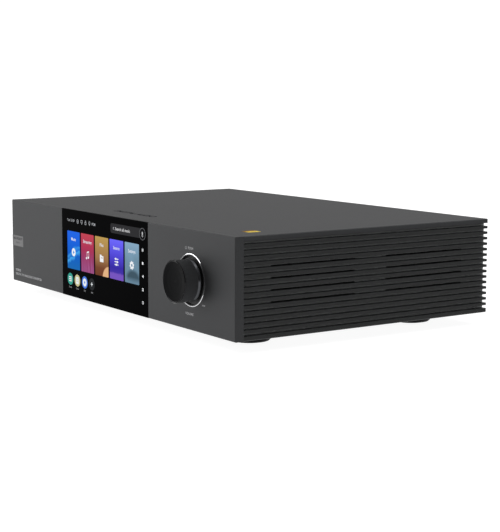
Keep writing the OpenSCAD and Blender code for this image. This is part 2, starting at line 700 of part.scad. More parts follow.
module rca_shells() color("#d4af4c") for (p = rca_at) at_rear(p) difference() {
    union() {
        rod(4.15, -12, 9.5);
        rod(5.2, 1.5, 2.5);
        translate([0, -rear_t - 2.2, 0]) rotate([-90, 0, 0]) cylinder(r = 6, h = 2.2, $fn = 6);
    }
    rod(3.3, -13, 10);
}

module rca_insulators() color("#e9e9e6") for (p = rca_at) at_rear(p) {
    difference() {
        rod(5.8, 0, 1.5);
        rod(4.2, -eps, 3);
    }
    difference() {
        rod(3.25, -13.5, 8.6);
        rod(1.6, -6, 9);
    }
}

module trigger_jacks() color("#1b1c1d") for (p = trigger_at) at_rear(p) difference() {
    union() {
        block([-4, -15, -4], [4, -rear_t, 4]);
        rod(3, -rear_t, 2.4);
        rod(4.2, 0, 1.6);
    }
    rod(1.8, -11, 3);
}

module antenna_jacks() color("#c9a94e") for (p = antenna_at) at_rear(p) {
    difference() {
        union() {
            rod(3.1, -rear_t, jack_out);
            rotate([-90, 0, 0]) cylinder(r = 4.6, h = 2, $fn = 6);
            rod(4.5, -rear_t - 4, -rear_t);
        }
        rod(2.3, 4, jack_out + eps);
    }
    rod(0.6, 4, 9);
}

// ---------- data sockets ----------

module optical_sockets() color("#101112") for (p = optical_at) at_rear(p) difference() {
    along_y(-18, 0.8) square(optical_size, center = true);
    block([-4.3, -13, -4.5], [4.3, 1.5, 4.5]);
    translate([-5, shutter_pivot[0], shutter_pivot[1]]) rotate([0, 90, 0])
        cylinder(r = 0.45, h = 10, $fn = 24);
}

// Sprung flap over an optical socket, on two stub pins
module optical_shutter(place) color("#26272a") at_rear(place) {
    translate([-4.15, shutter_pivot[0] - 0.4, -4.2]) cube([8.3, 0.8, shutter_pivot[1] + 4.75]);
    translate([-4.9, shutter_pivot[0], shutter_pivot[1]]) rotate([0, 90, 0])
        cylinder(r = 0.38, h = 9.8, $fn = 24);
}

module optical_shutter_in() optical_shutter(optical_at[0]);

module optical_shutter_out() optical_shutter(optical_at[1]);

module usb_sockets() color("#c4c6c9") {
    at_rear(usb_a_at) {
        difference() {
            along_y(-14, 0.8) square(usb_a_size, center = true);
            for (z = [-3.9, 3.9]) block([-6.3, -12, z - 2.6], [6.3, 2, z + 2.6]);
        }
        for (z = [-3.9, 3.9]) block([-5.5, -12, z + 0.3], [5.5, -0.4, z + 2.1]);
    }
    at_rear(usb_b_at) {
        difference() {
            along_y(-14, 0.8) square(usb_b_size, center = true);
            along_y(-10, 2) inlet_outline(8.6, 7.9, 1.6);
        }
        block([-2.8, -10, -1.6], [2.8, -0.6, 1.6]);
    }
}

module lan_socket() color("#bfc1c4") at_rear(lan_at) {
    difference() {
        along_y(-18, 0.6) square(lan_size, center = true);
        block([-5.9, -12, -2.6], [5.9, 2, 4.9]);
        block([-3, -12, -4.2], [3, 2, 0]);
        block([-1.6, -12, -5.4], [1.6, 2, 0]);
    }
    for (i = [-3.5 : 3.5]) block([i * 1.05 - 0.2, -12, 4.1], [i * 1.05 + 0.2, -3, 4.9]);
}

module hdmi_sockets() color("#b9bbbe") for (p = hdmi_at) at_rear(p) {
    difference() {
        along_y(-12, 0.6) square(hdmi_size, center = true);
        along_y(-10, 2) polygon([[-7, 2.3], [-7, -0.6], [-5.4, -2.3], [5.4, -2.3], [7, -0.6], [7, 2.3]]);
    }
    block([-5.2, -10, 0], [5.2, -0.8, 1.1]);
}

// ---------- the nodes ----------

front_panel();
cover_glass();
display_module();
display_bracket();
badge_plate();
top_cover();
side_panel_left();
side_panel_right();
bottom_plate();
rear_panel();
foot_front_left();
foot_front_right();
foot_rear_left();
foot_rear_right();
foot_pads();
foot_screws();
storage_cover();
case_screws();
knob_ring();
knob_well();
encoder_housing();
encoder_nut();
volume_knob();
knob_screw();
encoder_shaft();
encoder_plunger();
display_ribbon();
main_board();
main_board_chips();
processor_heatsink();
interface_board();
analog_board();
analog_relays();
dac_shield();
capacitors();
power_board();
transformer();
transformer_clamp();
divider_wall();
board_standoffs();
inlet_module();
inlet_blades();
power_rocker();
fuse_drawer();
fuse_cartridge();
xlr_outputs();
xlr_inputs();
xlr_pins();
xlr_latch_left();
xlr_latch_right();
rca_shells();
rca_insulators();
optical_sockets();
optical_shutter_in();
optical_shutter_out();
usb_sockets();
lan_socket();
hdmi_sockets();
trigger_jacks();
antenna_jacks();
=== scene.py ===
"""Looks of the desktop audio converter: materials, screen, lettering, labels, light and camera.

Everything is in metres in the frame of the CAD model: X to the right, Y to the rear, Z up.
The front of the case faces -Y. Artwork is laid out in millimetres on the face it belongs to.
"""
import json
import math

import bmesh
import bpy
from mathutils import Matrix, Vector


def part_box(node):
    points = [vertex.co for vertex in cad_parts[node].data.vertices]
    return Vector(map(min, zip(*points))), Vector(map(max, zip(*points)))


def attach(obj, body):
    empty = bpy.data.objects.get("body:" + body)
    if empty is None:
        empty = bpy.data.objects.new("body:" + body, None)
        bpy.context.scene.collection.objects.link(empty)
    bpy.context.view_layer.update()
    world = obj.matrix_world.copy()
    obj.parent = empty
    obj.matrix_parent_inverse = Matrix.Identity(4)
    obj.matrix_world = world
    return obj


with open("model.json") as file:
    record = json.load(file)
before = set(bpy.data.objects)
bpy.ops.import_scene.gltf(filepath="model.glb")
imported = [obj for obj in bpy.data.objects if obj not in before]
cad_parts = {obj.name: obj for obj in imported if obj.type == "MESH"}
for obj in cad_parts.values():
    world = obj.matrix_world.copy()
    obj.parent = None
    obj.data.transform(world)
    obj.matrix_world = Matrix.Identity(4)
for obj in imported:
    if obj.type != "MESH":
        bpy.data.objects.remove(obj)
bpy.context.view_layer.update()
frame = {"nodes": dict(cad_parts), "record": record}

MM = 0.001
NODES = frame["nodes"]

FRONT_LO, FRONT_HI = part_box("front_panel")
KNOB_LO, KNOB_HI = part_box("volume_knob")
RING_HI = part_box("knob_ring")[1]
CASE_X = (FRONT_LO.x + FRONT_HI.x) / 2
CASE_Z = FRONT_LO.z
FRONT_Y = FRONT_LO.y
REAR_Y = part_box("rear_panel")[1].y
CASE_Y = (FRONT_Y + REAR_Y) / 2
TOP_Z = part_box("top_cover")[1].z
KNOB_X = (KNOB_LO.x + KNOB_HI.x) / 2
KNOB_Z = (KNOB_LO.z + KNOB_HI.z) / 2
KNOB_REAR = 4 * MM                # length of the rear end of the knob, where its burnished bevel is painted paler as a painted highlight
RING_BRIGHT = 0.42 * MM           # width of the bright edge round the knob's recess

# Painted light in the grooves of the side panels: their backs are painted lighter towards their floors
GROOVE_PITCH = 4.54 * MM
LOWEST_GROOVE = CASE_Z + 3.45 * MM
GROOVE_EDGE = 0.2 * MM            # rounding left out at a groove's edges
GROOVE_DEEP = 0.8 * MM            # depth from which the painted light is whole
GROOVE_FADE = 1.8 * MM            # height over which the painted light on the back of a groove goes from light to dark
PAINTED_GROOVE_TOP, PAINTED_GROOVE_FLOOR = 1.2, 8.5    # how many times lighter it is painted, at its top and at its floor

COATED_GLASS = 0.0028             # specular level of the anti-reflection coated glass

# ---------- camera, floor and light ----------

AZIMUTH, ELEVATION = math.radians(56.81), math.radians(6.58)
TARGET = Vector((CASE_X - 2.4 * MM, CASE_Y, CASE_Z + 47.5 * MM))
DISTANCE = 1.226
SKY_LOW, SKY_HIGH = 0.28, 1.0     # light of the sky at the horizon and overhead
SKY_RIGHT = 0.3                   # how much of it is left on the right
SEEN_WHITE = 1.1                  # brightness of the background that the camera sees
FLOOR_GLOW = 0.93                 # light that the floor gives off itself, so that shadows stay faint
FLOOR_HALF = 30.0                 # half the width of the floor
LENS, SHIFT = 93.0, (0.0375, -0.0459)


def make_camera():
    camera = bpy.data.objects.new("camera", bpy.data.cameras.new("camera"))
    back = Vector((
        math.sin(AZIMUTH) * math.cos(ELEVATION),
        -math.cos(AZIMUTH) * math.cos(ELEVATION),
        math.sin(ELEVATION),
    ))
    camera.location = TARGET + back * DISTANCE
    camera.rotation_mode = "QUATERNION"
    camera.rotation_quaternion = (-back).to_track_quat("-Z", "Y")
    camera.data.lens = LENS
    camera.data.shift_x, camera.data.shift_y = SHIFT
    camera.data.clip_start = 0.01
    bpy.context.scene.collection.objects.link(camera)
    bpy.context.scene.camera = camera


def area_light(name, place, size, power, aim=(0, 0, 0.04)):
    data = bpy.data.lights.new(name, "AREA")
    data.shape = "RECTANGLE"
    data.size, data.size_y = size
    data.energy = power
    lamp = bpy.data.objects.new(name, data)
    lamp.location = place
    lamp.rotation_mode = "QUATERNION"
    lamp.rotation_quaternion = (Vector(aim) - Vector(place)).to_track_quat("-Z", "Y")
    bpy.context.scene.collection.objects.link(lamp)
    return lamp


def make_world():
    """A white studio seen by the camera, whose light comes mostly from above and from the left."""
    world = bpy.data.worlds.new("studio")
    bpy.context.scene.world = world
    world.use_nodes = True
    tree = world.node_tree
    tree.nodes.clear()
    toward = add(tree, "SeparateXYZ", {0: add(tree, "TexCoord").outputs["Generated"]})
    above = spread(tree, toward.outputs["Z"], SKY_LOW, SKY_HIGH, 0.0, 0.9)
    leftward = spread(tree, toward.outputs["X"], 1.0, SKY_RIGHT, -0.3, 0.7)
    white = (1, 1, 1, 1)
    lit = add(tree, "Background", {"Color": white, "Strength": math_node(tree, "MULTIPLY", above, leftward)})
    seen = add(tree, "Background", {"Color": white, "Strength": SEEN_WHITE})
    rays = add(tree, "LightPath").outputs["Is Camera Ray"]
    both = add(tree, "MixShader", {0: rays, 1: lit.outputs[0], 2: seen.outputs[0]})
    out = add(tree, "OutputWorld", {"Surface": both.outputs[0]})
    out.is_active_output = True
    bpy.context.scene.view_settings.view_transform = "Standard"


def make_floor():
    corners = [(x * FLOOR_HALF, y * FLOOR_HALF, 0) for x, y in ((-1, -1), (1, -1), (1, 1), (-1, 1))]
    mesh = bpy.data.meshes.new("floor")
    mesh.from_pydata(corners, [], [(0, 1, 2, 3)])
    floor = bpy.data.objects.new("floor", mesh)
    bpy.context.scene.collection.objects.link(floor)
    mesh.materials.append(floor_material())


# ---------- material nodes ----------


def new_material(name):
    """A material holding one Principled shader, with its node tree."""
    material = bpy.data.materials.new(name)
    material.use_nodes = True
    tree = material.node_tree
    tree.nodes.clear()
    out = tree.nodes.new("ShaderNodeOutputMaterial")
    bsdf = tree.nodes.new("ShaderNodeBsdfPrincipled")
    tree.links.new(bsdf.outputs[0], out.inputs[0])
    return material, tree, bsdf


def add(tree, kind, sockets=None, **settings):
    """A node with its settings and inputs; an input may be a number, a colour or another node's output."""
    node = tree.nodes.new("ShaderNode" + kind)
    for key, value in settings.items():
        setattr(node, key, value)
    for key, value in (sockets or {}).items():
        if isinstance(value, bpy.types.NodeSocket):
            tree.links.new(value, node.inputs[key])
        else:
            node.inputs[key].default_value = value
    return node


def put(tree, bsdf, **sockets):
    """Sets or links inputs of the Principled shader, named with underscores for spaces."""
    for key, value in sockets.items():
        socket = bsdf.inputs[key.replace("_", " ")]
        if isinstance(value, bpy.types.NodeSocket):
            tree.links.new(value, socket)
        else:
            socket.default_value = value


def place(tree, scale=(1, 1, 1), shift=(0, 0, 0)):
    """Positions on the object, in its own frame, moved by shift and then scaled."""
    where = add(tree, "TexCoord").outputs["Object"]
    shifted = add(tree, "VectorMath", {0: where, 1: shift}, operation="ADD")
    return add(tree, "VectorMath", {0: shifted.outputs[0], 1: scale}, operation="MULTIPLY").outputs[0]


def noise(tree, scale, detail=4.0, vector=None, roughness=0.55):
    vector = vector or place(tree)
    sockets = {"Vector": vector, "Scale": scale, "Detail": detail, "Roughness": roughness}
    return add(tree, "TexNoise", sockets).outputs["Fac"]


def spread(tree, value, low, high, from_low=0.3, from_high=0.7):
    """Maps a 0 to 1 pattern to a range."""
    sockets = {"Value": value, "From Min": from_low, "From Max": from_high, "To Min": low, "To Max": high}
    return add(tree, "MapRange", sockets).outputs[0]


def scaled(tree, color, factor):
    """A colour times a number, where the colour may be a socket and the number is one."""
    return add(tree, "VectorMath", {0: color, "Scale": factor}, operation="SCALE").outputs[0]


def shade(tree, color, value, amount):
    """The colour made lighter and darker by a pattern, by amount at most."""
    return scaled(tree, color, spread(tree, value, 1 - amount, 1 + amount))


def bump(tree, height, depth, strength=1.0, normal=None):
    sockets = {"Height": height, "Distance": depth, "Strength": strength}
    if normal:
        sockets["Normal"] = normal
    return add(tree, "Bump", sockets).outputs[0]


def srgb(red, green, blue):
    """A colour given as 0 to 255 screen values, made linear."""
    def linear(value):
        value /= 255
        return value / 12.92 if value <= 0.04045 else ((value + 0.055) / 1.055) ** 2.4
    return (linear(red), linear(green), linear(blue))


def floor_material():
    material, tree, bsdf = new_material("floor_paper")
    fibre = noise(tree, 900, 3)
    put(tree, bsdf, Base_Color=shade(tree, (0.29, 0.29, 0.29), fibre, 0.01), Roughness=0.85)
    put(tree, bsdf, Specular_IOR_Level=0.0, Normal=bump(tree, fibre, 0.00005, 0.2))
    put(tree, bsdf, Emission_Color=(1, 1, 1, 1), Emission_Strength=FLOOR_GLOW)
    return material


def blasted(name, color, roughness=0.5, metallic=0.9, grain=2600, depth=0.000006):
    """Bead-blasted and anodised aluminium: fine even grain, faint cloudy variation."""
    material, tree, bsdf = new_material(name)
    fine = noise(tree, grain, 2, roughness=0.6)
    cloud = noise(tree, 14, 3)
    grained = scaled(tree, shade(tree, color, cloud, 0.03), spread(tree, fine, 0.9, 1.1))
    put(tree, bsdf, Base_Color=grained, Metallic=metallic)
    put(tree, bsdf, Roughness=spread(tree, fine, roughness - 0.06, roughness + 0.06))
    put(tree, bsdf, Normal=bump(tree, fine, depth, 0.5), Specular_IOR_Level=0.3)
    return material


def finned(name, color):
    """The case's anodising on the finned sides, with painted light: lighter on the back of each groove
    towards its floor.
    """
    material, tree, bsdf = new_material(name)
    fine = noise(tree, 2600, 2, roughness=0.6)
    where = add(tree, "SeparateXYZ", {0: place(tree, shift=(0, 0, GROOVE_EDGE - LOWEST_GROOVE))}).outputs
    depth = math_node(tree, "SUBTRACT", FRONT_HI.x, math_node(tree, "ABSOLUTE", where["X"]))
    height = math_node(tree, "FLOORED_MODULO", where["Z"], GROOVE_PITCH)
    # Painted light: the inside of each groove is made lighter, most of all towards its floor.
    inside = spread(tree, height, PAINTED_GROOVE_FLOOR, PAINTED_GROOVE_TOP, GROOVE_EDGE, GROOVE_EDGE + GROOVE_FADE)
    deep = spread(tree, depth, 0.0, 1.0, GROOVE_EDGE, GROOVE_DEEP)
    painted_light_extra = math_node(tree, "MULTIPLY", deep, math_node(tree, "SUBTRACT", inside, 1.0))
    lighter = math_node(tree, "ADD", painted_light_extra, 1.0)
    factor = math_node(tree, "MULTIPLY", lighter, spread(tree, fine, 0.9, 1.1))
    grained = scaled(tree, shade(tree, color, noise(tree, 14, 3), 0.03), factor)
    put(tree, bsdf, Base_Color=grained, Metallic=0.9, Specular_IOR_Level=0.3)
    put(tree, bsdf, Roughness=spread(tree, fine, 0.44, 0.56), Normal=bump(tree, fine, 0.000006, 0.5))
    return material


def turned(name, color, centre, roughness=0.3, pitch=0.00035, metallic=1.0, axis="Y", depth=0.000004):
    """Lathe-turned metal: fine rings round an axis through centre."""
    material, tree, bsdf = new_material(name)
    where = place(tree, shift=tuple(-c for c in centre))
    sockets = {"Vector": where, "Scale": 0.05 / pitch, "Distortion": 0.4, "Detail": 2.0, "Detail Scale": 2.0}
    rings = add(tree, "TexWave", sockets, wave_type="RINGS", rings_direction=axis).outputs["Fac"]
    smudge = noise(tree, 60, 4)
    put(tree, bsdf, Base_Color=shade(tree, color, smudge, 0.06), Metallic=metallic)
    put(tree, bsdf, Roughness=spread(tree, smudge, roughness - 0.04, roughness + 0.05))
    put(tree, bsdf, Normal=bump(tree, rings, depth, 0.6))
    return material


def spun_knob(name, centre):
    """Black anodising: a near-black spun face, a paler side and burnished bevels; the rear bevel is painted
    paler, a painted highlight.
    """
    material, tree, bsdf = new_material(name)
    where = place(tree, shift=tuple(-c for c in centre))
    sockets = {"Vector": where, "Scale": 140.0, "Distortion": 0.4, "Detail": 2.0, "Detail Scale": 2.0}
    rings = add(tree, "TexWave", sockets, wave_type="RINGS", rings_direction="Y").outputs["Fac"]
    facing = add(tree, "SeparateXYZ", {0: add(tree, "TexCoord").outputs["Normal"]}).outputs["Y"]
    forward = math_node(tree, "ABSOLUTE", facing)
    not_side = math_node(tree, "GREATER_THAN", forward, 0.3)
    bevel = math_node(tree, "MULTIPLY", not_side, math_node(tree, "LESS_THAN", forward, 0.94))
    depth = add(tree, "SeparateXYZ", {0: place(tree)}).outputs["Y"]
    painted_highlight_at_rear = math_node(tree, "GREATER_THAN", depth, KNOB_HI.y - KNOB_REAR)
    smudge = noise(tree, 60, 4)
    black = shade(tree, (0.004, 0.0042, 0.0046), smudge, 0.08)
    side = shade(tree, (0.04, 0.041, 0.043), smudge, 0.05)
    flat = mix(tree, not_side, side, black)
    # The rear bevel's paler metal is a painted highlight on burnished metal.
    burnished = mix(tree, painted_highlight_at_rear, (0.016, 0.016, 0.017), (0.065, 0.067, 0.073))
    put(tree, bsdf, Base_Color=mix(tree, bevel, flat, burnished), Metallic=bevel)
    rough = spread(tree, smudge, 0.3, 0.38)
    put(tree, bsdf, Roughness=math_node(tree, "SUBTRACT", rough, math_node(tree, "MULTIPLY", bevel, 0.16)))
    put(tree, bsdf, Normal=bump(tree, rings, 0.000003, 0.5), Specular_IOR_Level=0.015)
    return material


def brushed(name, color, roughness=0.35, stretch=(12, 1, 1), metallic=1.0):
    """Sheet metal with short brush lines along one axis."""
    material, tree, bsdf = new_material(name)
    along = place(tree, scale=tuple(1 / s for s in stretch))
    lines = noise(tree, 2200, 3, along)
    patch = noise(tree, 35, 3)
    put(tree, bsdf, Base_Color=shade(tree, color, lines, 0.08), Metallic=metallic)
    put(tree, bsdf, Roughness=spread(tree, patch, roughness - 0.05, roughness + 0.08))
    put(tree, bsdf, Normal=bump(tree, lines, 0.000004, 0.5))
    return material


def moulded(name, color, roughness=0.5, grain=1800, depth=0.00001, specular=0.4):
    """Moulded plastic or rubber with a fine spark-eroded grain."""
    material, tree, bsdf = new_material(name)
    fine = noise(tree, grain, 3)
    cloud = noise(tree, 40, 3)
    put(tree, bsdf, Base_Color=shade(tree, color, cloud, 0.07), Specular_IOR_Level=specular)
    put(tree, bsdf, Roughness=spread(tree, fine, roughness - 0.06, roughness + 0.06))
    put(tree, bsdf, Normal=bump(tree, fine, depth, 0.5))
    return material


def powder_coat(name, color, roughness=0.55):
    """Textured powder coat: small rounded lumps."""
    material, tree, bsdf = new_material(name)
    sockets = {"Vector": place(tree), "Scale": 1400.0}
    lumps = add(tree, "TexVoronoi", sockets, feature="SMOOTH_F1").outputs["Distance"]
    speck = noise(tree, 700, 3)
    put(tree, bsdf, Base_Color=shade(tree, color, speck, 0.1), Specular_IOR_Level=0.35)
    put(tree, bsdf, Roughness=spread(tree, speck, roughness - 0.05, roughness + 0.08))
    put(tree, bsdf, Normal=bump(tree, lumps, 0.00003, 0.4))
    return material


def polished(name, color, roughness=0.08):
    """Plated or diamond-cut bright metal with faint handling haze."""
    material, tree, bsdf = new_material(name)
    haze = noise(tree, 120, 4)
    put(tree, bsdf, Base_Color=shade(tree, color, haze, 0.04), Metallic=1.0)
    put(tree, bsdf, Roughness=spread(tree, haze, roughness, roughness + 0.1))
    return material


def cut_ring(name, centre, inner):
    """A diamond-cut bright edge round a recess, beyond the radius inner; black anodising within it."""
    material, tree, bsdf = new_material(name)
    flat = place(tree, (1, 0, 1), tuple(-c for c in centre))
    radius = add(tree, "VectorMath", {0: flat}, operation="LENGTH").outputs["Value"]
    dark = within(tree, radius, inner, 0.03 * MM)
    smudge = noise(tree, 40, 3)
    bright = shade(tree, (0.82, 0.82, 0.84), smudge, 0.03)
    put(tree, bsdf, Base_Color=mix(tree, dark, bright, (0.1, 0.1, 0.103)), Metallic=1.0)
    rough = spread(tree, smudge, 0.06, 0.12)
    put(tree, bsdf, Roughness=math_node(tree, "ADD", rough, math_node(tree, "MULTIPLY", dark, 0.3)))
    return material


def circuit_laminate(name, color):
    """Solder mask with traces showing through as slightly raised, lighter lines."""
    material, tree, bsdf = new_material(name)
    sockets = {"Vector": place(tree), "Scale": 260.0}
    traces = add(tree, "TexVoronoi", sockets, feature="F1", distance="CHEBYCHEV").outputs["Distance"]
    weave = noise(tree, 900, 2)
    put(tree, bsdf, Base_Color=shade(tree, color, traces, 0.35), Coat_Weight=0.4, Coat_Roughness=0.15)
    put(tree, bsdf, Roughness=spread(tree, weave, 0.3, 0.45), Normal=bump(tree, traces, 0.00003, 0.4))
    return material


def dark_glass(name):
    """Black-backed, anti-reflection coated glass with the faintest haze of finger marks."""
    material, tree, bsdf = new_material(name)
    haze = noise(tree, 30, 5)
    put(tree, bsdf, Base_Color=shade(tree, (0.001, 0.001, 0.0012), haze, 0.1))
    put(tree, bsdf, Roughness=spread(tree, haze, 0.06, 0.14), Specular_IOR_Level=COATED_GLASS)
    return material


def printed(name, color, roughness=0.5, specular=0.3):
    """Screen-printed ink, slightly mottled."""
    material, tree, bsdf = new_material(name)
    mottle = noise(tree, 1500, 3)
    put(tree, bsdf, Base_Color=shade(tree, color, mottle, 0.08), Roughness=roughness)
    put(tree, bsdf, Specular_IOR_Level=specular)
    return material


# Dark orange to yellow gold; laid across the foil, this run is a painted highlight.
GOLD_SHEEN_RUN = [(0.15, (0.16, 0.065, 0.002)), (0.4, (0.5, 0.27, 0.01)), (0.6, (0.86, 0.66, 0.09))]


def foil(name, left, right):
    """Gold foil with crossed brushing, painted orange on the left and yellow on the right as a painted
    highlight.
    """
    material, tree, bsdf = new_material(name)
    lines = noise(tree, 3000, 2, place(tree, scale=(1, 0.1, 1)))
    cloud = noise(tree, 160, 3)
    across = add(tree, "SeparateXYZ", {0: place(tree)}).outputs["X"]
    # Painted highlight: the gold runs from dark orange on the left to yellow on the right.
    sideways = spread(tree, across, 0.0, 1.0, left, right)
    patchy = math_node(tree, "ADD", sideways, spread(tree, cloud, -0.2, 0.2))
    gold = ramp(tree, patchy, GOLD_SHEEN_RUN)
    put(tree, bsdf, Base_Color=gold, Metallic=0.25, Specular_IOR_Level=0.0)
    put(tree, bsdf, Roughness=spread(tree, lines, 0.35, 0.55), Normal=bump(tree, lines, 0.00001, 0.5))
    return material


# ---------- screen colours ----------


def glowing(name, color, strength=1.0):
    """A lit area of the display, with the pixel grid as a very fine ripple in brightness."""
    material, tree, bsdf = new_material(name)
    ripple = noise(tree, 4000, 1)
    put(tree, bsdf, Base_Color=(0, 0, 0, 1), Roughness=0.1, Specular_IOR_Level=COATED_GLASS)
    put(tree, bsdf, Emission_Color=shade(tree, color, ripple, 0.04), Emission_Strength=strength)
    return material


def mix(tree, factor, first, second):
    """A blend of two colours, either of which may be a socket."""
    node = add(tree, "Mix", data_type="RGBA")
    for index, value in ((0, factor), (6, first), (7, second)):
        if isinstance(value, bpy.types.NodeSocket):
            tree.links.new(value, node.inputs[index])
        else:
            node.inputs[index].default_value = (*value, 1) if isinstance(value, tuple) else value
    return node.outputs[2]


def ramp(tree, value, stops):
    """A smooth run of colours over 0 to 1; each stop is a position and a colour."""
    node = add(tree, "ValToRGB", {"Fac": value})
    elements = node.color_ramp.elements
    while len(elements) < len(stops):
        elements.new(1.0)
    for element, (position, color) in zip(elements, stops):
        element.position = position
        element.color = (*color, 1)
    return node.outputs["Color"]


def math_node(tree, operation, first, second=0.0):
    return add(tree, "Math", {0: first, 1: second}, operation=operation).outputs[0]


def within(tree, distance, edge, soft):
    """1 inside an edge, 0 outside it, with a soft border."""
    return spread(tree, distance, 1.0, 0.0, edge - soft, edge + soft)


def length_of(tree, across, up):
    """Distance from a point, from the offsets across and up."""
    both = add(tree, "CombineXYZ", {"X": across, "Y": up}).outputs[0]
    return add(tree, "VectorMath", {0: both}, operation="LENGTH").outputs["Value"]


def tile_axes(tree, left, bottom, width, height):
    """Two sockets that run 0 to 1 across and up a tile on the front face."""
    scale = (1 / width, 1, 1 / height)
    axes = add(tree, "SeparateXYZ", {0: place(tree, scale, (-left, 0, -bottom))})
    return axes.outputs["X"], axes.outputs["Z"]


def waves_over(tree, color, u, v):
    """Light flowing bands rising to the right across the lower half."""
    joined = add(tree, "CombineXYZ", {"X": u, "Y": v}).outputs[0]
    swirl = noise(tree, 2.2, 3, joined)
    slope = math_node(tree, "SUBTRACT", v, math_node(tree, "MULTIPLY", u, 0.35))
    band = math_node(tree, "ADD", slope, math_node(tree, "MULTIPLY", swirl, 0.5))
    grey_stops = ((0.3, 0.0), (0.42, 1.0), (0.46, 0.15), (0.56, 0.6), (0.62, 0.0))
    light = ramp(tree, band, [(position, (grey,) * 3) for position, grey in grey_stops])
    return mix(tree, light, color, srgb(70, 170, 240))


def streaks_over(tree, color, u, v):
    """Vertical streaks that fade in towards the bottom."""
    joined = add(tree, "CombineXYZ", {"X": math_node(tree, "MULTIPLY", u, 9.0), "Y": v}).outputs[0]
    lines = spread(tree, noise(tree, 1.6, 2, joined), 0.0, 0.75)
    low = within(tree, v, 0.34, 0.22)
    return mix(tree, math_node(tree, "MULTIPLY", lines, low), color, srgb(182, 104, 156))


def corner_over(tree, color, u, v):
    """A pale round shape rising from the bottom right corner."""
    across = math_node(tree, "SUBTRACT", u, 1.02)
    up = math_node(tree, "MULTIPLY", math_node(tree, "SUBTRACT", v, -0.06), 1.4)
    span = length_of(tree, across, up)
    return mix(tree, within(tree, span, 0.46, 0.02), color, srgb(226, 178, 132))


def band_over(tree, color, u, v):
    """A lighter band along the bottom under a line of small waves."""
    joined = add(tree, "CombineXYZ", {"X": u, "Y": v}).outputs[0]
    edge = math_node(tree, "ADD", v, math_node(tree, "MULTIPLY", noise(tree, 6.0, 4, joined), 0.12))
    return mix(tree, within(tree, edge, 0.22, 0.02), color, srgb(118, 84, 190))


def hill_over(tree, color, u, v):
    """A dark rounded hill in the lower third, with mist above it."""
    joined = add(tree, "CombineXYZ", {"X": u, "Y": v}).outputs[0]
    mist = spread(tree, noise(tree, 2.5, 4, joined), 0.0, 0.5)
    hazy = mix(tree, math_node(tree, "MULTIPLY", mist, within(tree, v, 0.75, 0.2)), color, srgb(96, 124, 138))
    across = math_node(tree, "SUBTRACT", u, 0.58)
    up = math_node(tree, "MULTIPLY", math_node(tree, "SUBTRACT", v, 0.12), 2.2)
    span = length_of(tree, across, up)
    hill = math_node(tree, "MULTIPLY", within(tree, span, 0.46, 0.1), spread(tree, v, 0.0, 0.9, 0.03, 0.16))
    return mix(tree, hill, hazy, srgb(56, 77, 90))


def tile_material(name, stops, over, left, bottom, width, height):
    """Artwork of one menu tile: a run of colours from bottom to top with a shape over it."""
    material, tree, bsdf = new_material(name)
    u, v = tile_axes(tree, left, bottom, width, height)
    color = over(tree, ramp(tree, v, [(p, srgb(*c)) for p, c in stops]), u, v)
    put(tree, bsdf, Base_Color=(0, 0, 0, 1), Roughness=0.1, Specular_IOR_Level=COATED_GLASS)
    put(tree, bsdf, Emission_Color=color, Emission_Strength=1.0)
    return material


# ---------- flat artwork ----------

FRONT_FACE = Matrix.Rotation(math.radians(90), 4, "X")
REAR_FACE = Matrix.Rotation(math.radians(180), 4, "Z") @ FRONT_FACE
INK = 0.02 * MM            # thickness of a printed layer
NO_RADIUS = 0.0001         # stands in for a sharp corner, in millimetres
CAPITAL = 0.7              # height of a capital as a share of the type size


def on_front(x, z, lift=0.0):
    """Lays artwork on the front face, x and z in millimetres from the case's middle and underside."""
    return Matrix.Translation((CASE_X + x * MM, FRONT_Y - lift, CASE_Z + z * MM)) @ FRONT_FACE


def on_rear(x, z, lift=0.0):
    """The same on the rear face; x is still the case's own X and z is the height above the ground."""
    return Matrix.Translation((x * MM, REAR_Y + lift, z * MM)) @ REAR_FACE


def on_top(x, y, lift=0.0):
    """The same on the top, y in millimetres from the front face."""
    return Matrix.Translation((CASE_X + x * MM, FRONT_Y + y * MM, TOP_Z + lift))


def mesh_of(curve):
    """A mesh made from a curve or text, which is then removed."""
    holder = bpy.data.objects.new("holder", curve)
    bpy.context.scene.collection.objects.link(holder)
    bpy.context.view_layer.update()
    mesh = bpy.data.meshes.new_from_object(holder)
    bpy.data.objects.remove(holder)
    return mesh


def words(text, height, spacing=1.0, weight=0.0, align="CENTER", thickness=INK):
    """Lettering as a thin mesh; height is that of a capital, in millimetres."""
    curve = bpy.data.curves.new("lettering", "FONT")
    curve.body = text
    curve.size = height * MM / CAPITAL
    curve.space_character = spacing
    curve.offset = weight * MM
    curve.align_x = align
    curve.align_y = "CENTER"
    curve.resolution_u = 4
    curve.extrude = thickness / 2
    return mesh_of(curve)


def shape(loops, thickness=INK):
    """A flat shape from closed loops in millimetres; a loop inside another is a hole."""
    curve = bpy.data.curves.new("outline", "CURVE")
    curve.dimensions = "2D"
    curve.fill_mode = "BOTH"
    curve.extrude = thickness / 2
    for loop in loops:
        spline = curve.splines.new("POLY")
        spline.points.add(len(loop) - 1)
        for point, (x, y) in zip(spline.points, loop):
            point.co = (x * MM, y * MM, 0, 1)
        spline.use_cyclic_u = True
    return mesh_of(curve)


def moved(loop, x, y):
    return [(px + x, py + y) for px, py in loop]


def disc(radius, x=0.0, y=0.0, sides=48):
    turns = [2 * math.pi * i / sides for i in range(sides)]
    return [(x + radius * math.cos(t), y + radius * math.sin(t)) for t in turns]


